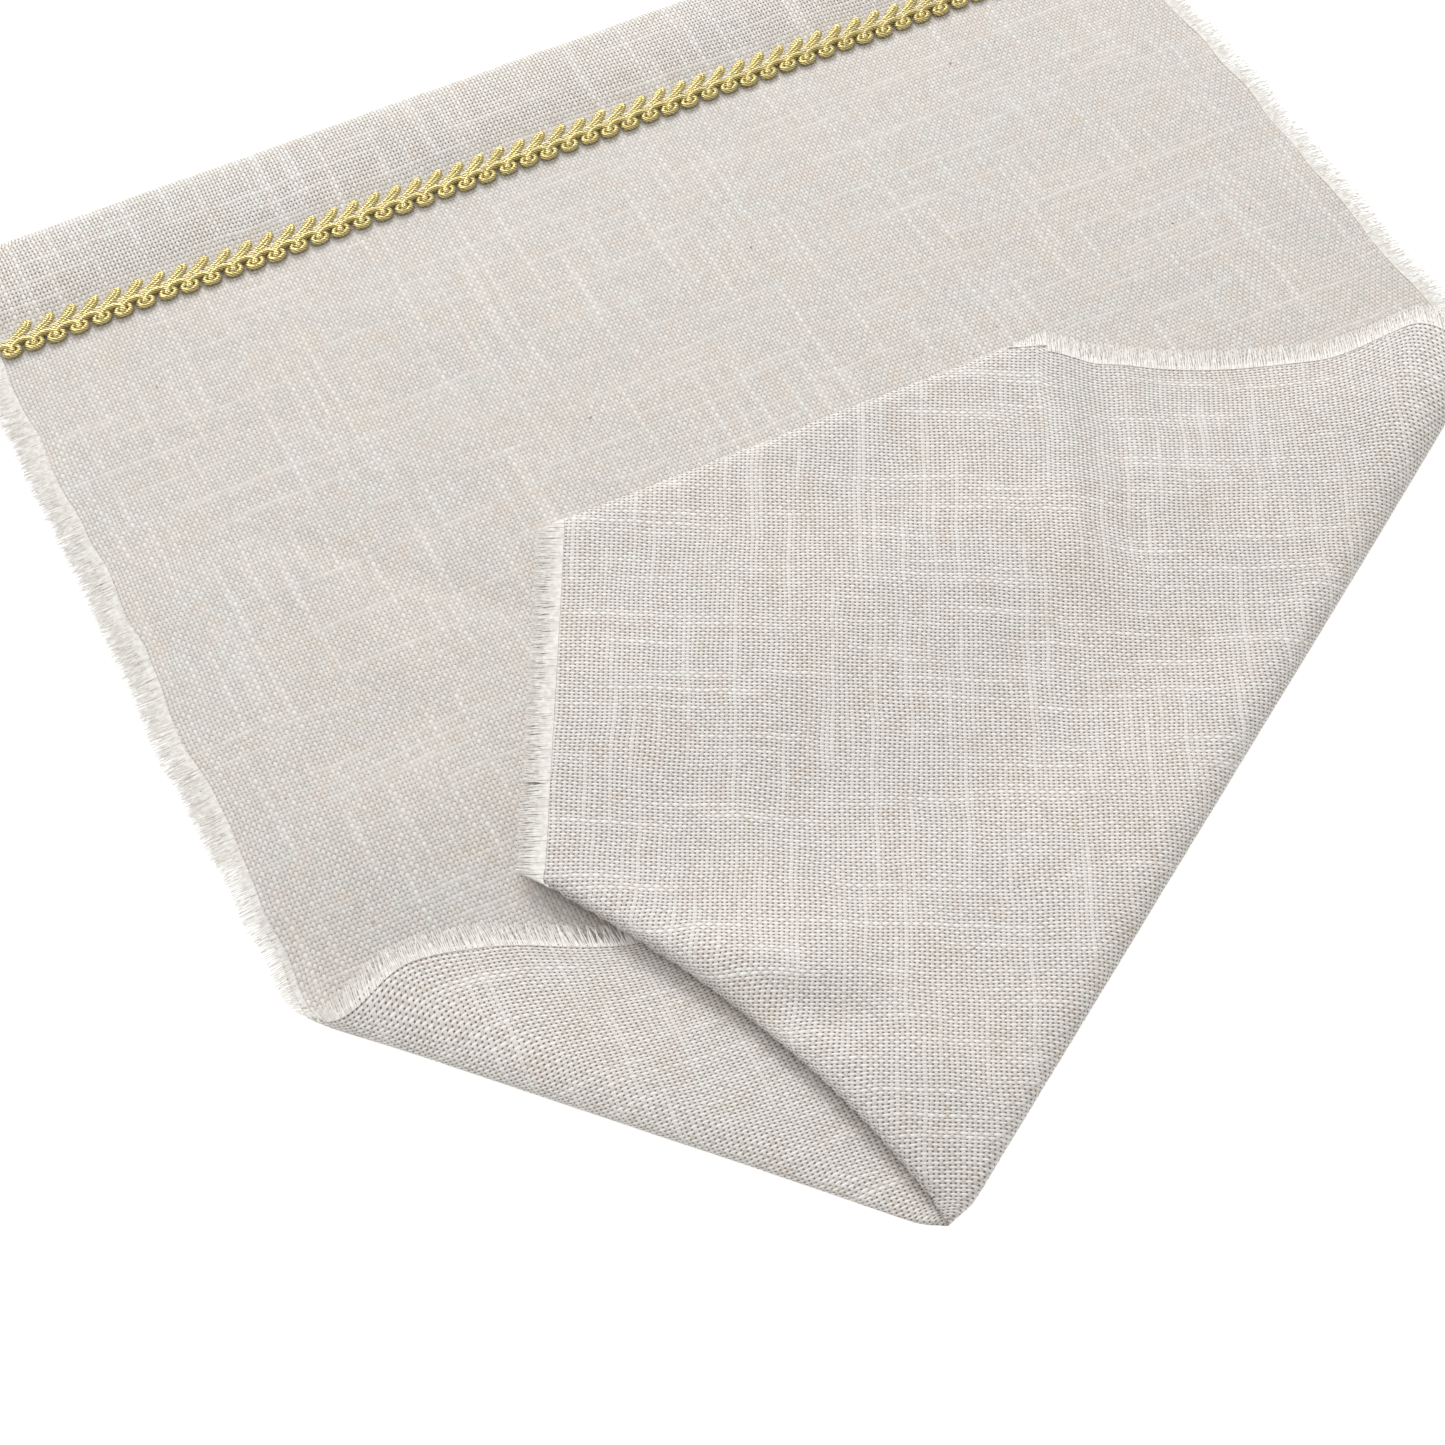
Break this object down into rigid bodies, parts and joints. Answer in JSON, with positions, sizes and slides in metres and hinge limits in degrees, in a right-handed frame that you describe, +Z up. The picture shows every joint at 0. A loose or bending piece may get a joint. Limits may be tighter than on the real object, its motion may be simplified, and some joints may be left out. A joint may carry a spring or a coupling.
{
  "type": "table runner",
  "caption": "Woven linen table runner with short ravelled edges and a gimp braid row, its length folded under and its free end turned back.",
  "frame": {"origin": "centre of the folded runner's box, on the surface it lies on", "axes": "+X along the braid, +Y towards the rolled back fold, +Z up"},
  "size_m": [0.33, 0.3346, 0.0103],
  "materials": {
    "linen": "plain-woven slub linen in natural oatmeal, matt",
    "yarn": "loose ravelled linen yarn, matt",
    "gold_cord": "metallised gold thread wound on a cord core, glossy",
    "pale_gold": "plaited pale gold thread, soft metallic",
    "sewing_thread": "beige sewing thread, matt"
  },
  "bodies": {
    "root": {"linen_cloth": "linen", "fringe_left_side": "yarn", "fringe_right_side": "yarn", "fringe_turned_corner": "yarn", "fringe_turned_side": "yarn", "fringe_turned_end": "yarn", "braid_back_cord": "gold_cord", "braid_front_cord": "gold_cord", "braid_centre_chain": "pale_gold", "braid_sewing_thread": "sewing_thread"}
  },
  "joints": []
}
